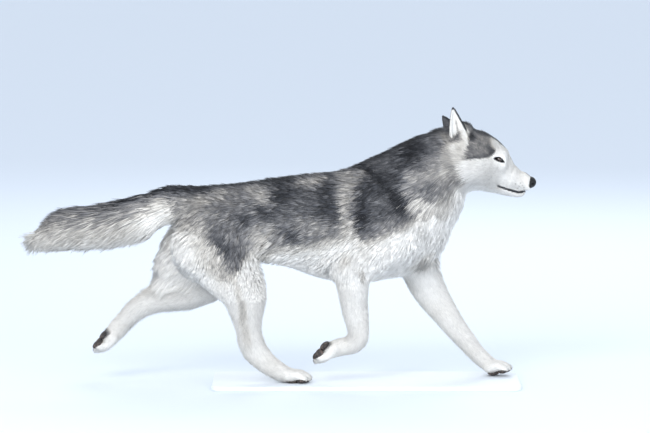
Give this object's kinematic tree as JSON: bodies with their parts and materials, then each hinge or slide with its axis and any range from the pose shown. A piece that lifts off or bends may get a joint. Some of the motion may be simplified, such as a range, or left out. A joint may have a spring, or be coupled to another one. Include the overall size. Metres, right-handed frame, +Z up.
{
  "type": "siberian husky model",
  "caption": "Life-size still model of a grey and white siberian husky at a trot, on a flat low display base",
  "frame": {"origin": "the middle of the underside of the display base, on the floor", "axes": "+X points the way the dog runs, from tail to nose; +Y points to the dog's left; +Z points up"},
  "size_m": [1.2663, 0.264, 0.7004],
  "materials": {
    "grey_coat": "dense double coat, dark grey guard hair over pale undercoat, matt",
    "white_coat": "dense double coat, white to cream, matt",
    "bare_skin": "black bare skin and horn, slightly moist sheen",
    "eyes": "dark brown iris under a wet, clear cornea",
    "base": "painted pale, plain and matt"
  },
  "bodies": {
    "root": {"stand_base": "base", "torso": "grey_coat", "neck": "grey_coat", "head": "white_coat", "nose": "bare_skin", "ear_right": "grey_coat", "ear_left": "grey_coat", "eye_right": "eyes", "eye_left": "eyes", "tail": "grey_coat", "foreleg_right": "white_coat", "foreleg_left": "white_coat", "forepaw_right": "white_coat", "forepaw_left": "white_coat", "thigh_right": "grey_coat", "thigh_left": "grey_coat", "shank_right": "white_coat", "shank_left": "white_coat", "hindpaw_right": "white_coat", "hindpaw_left": "white_coat"}
  },
  "joints": []
}
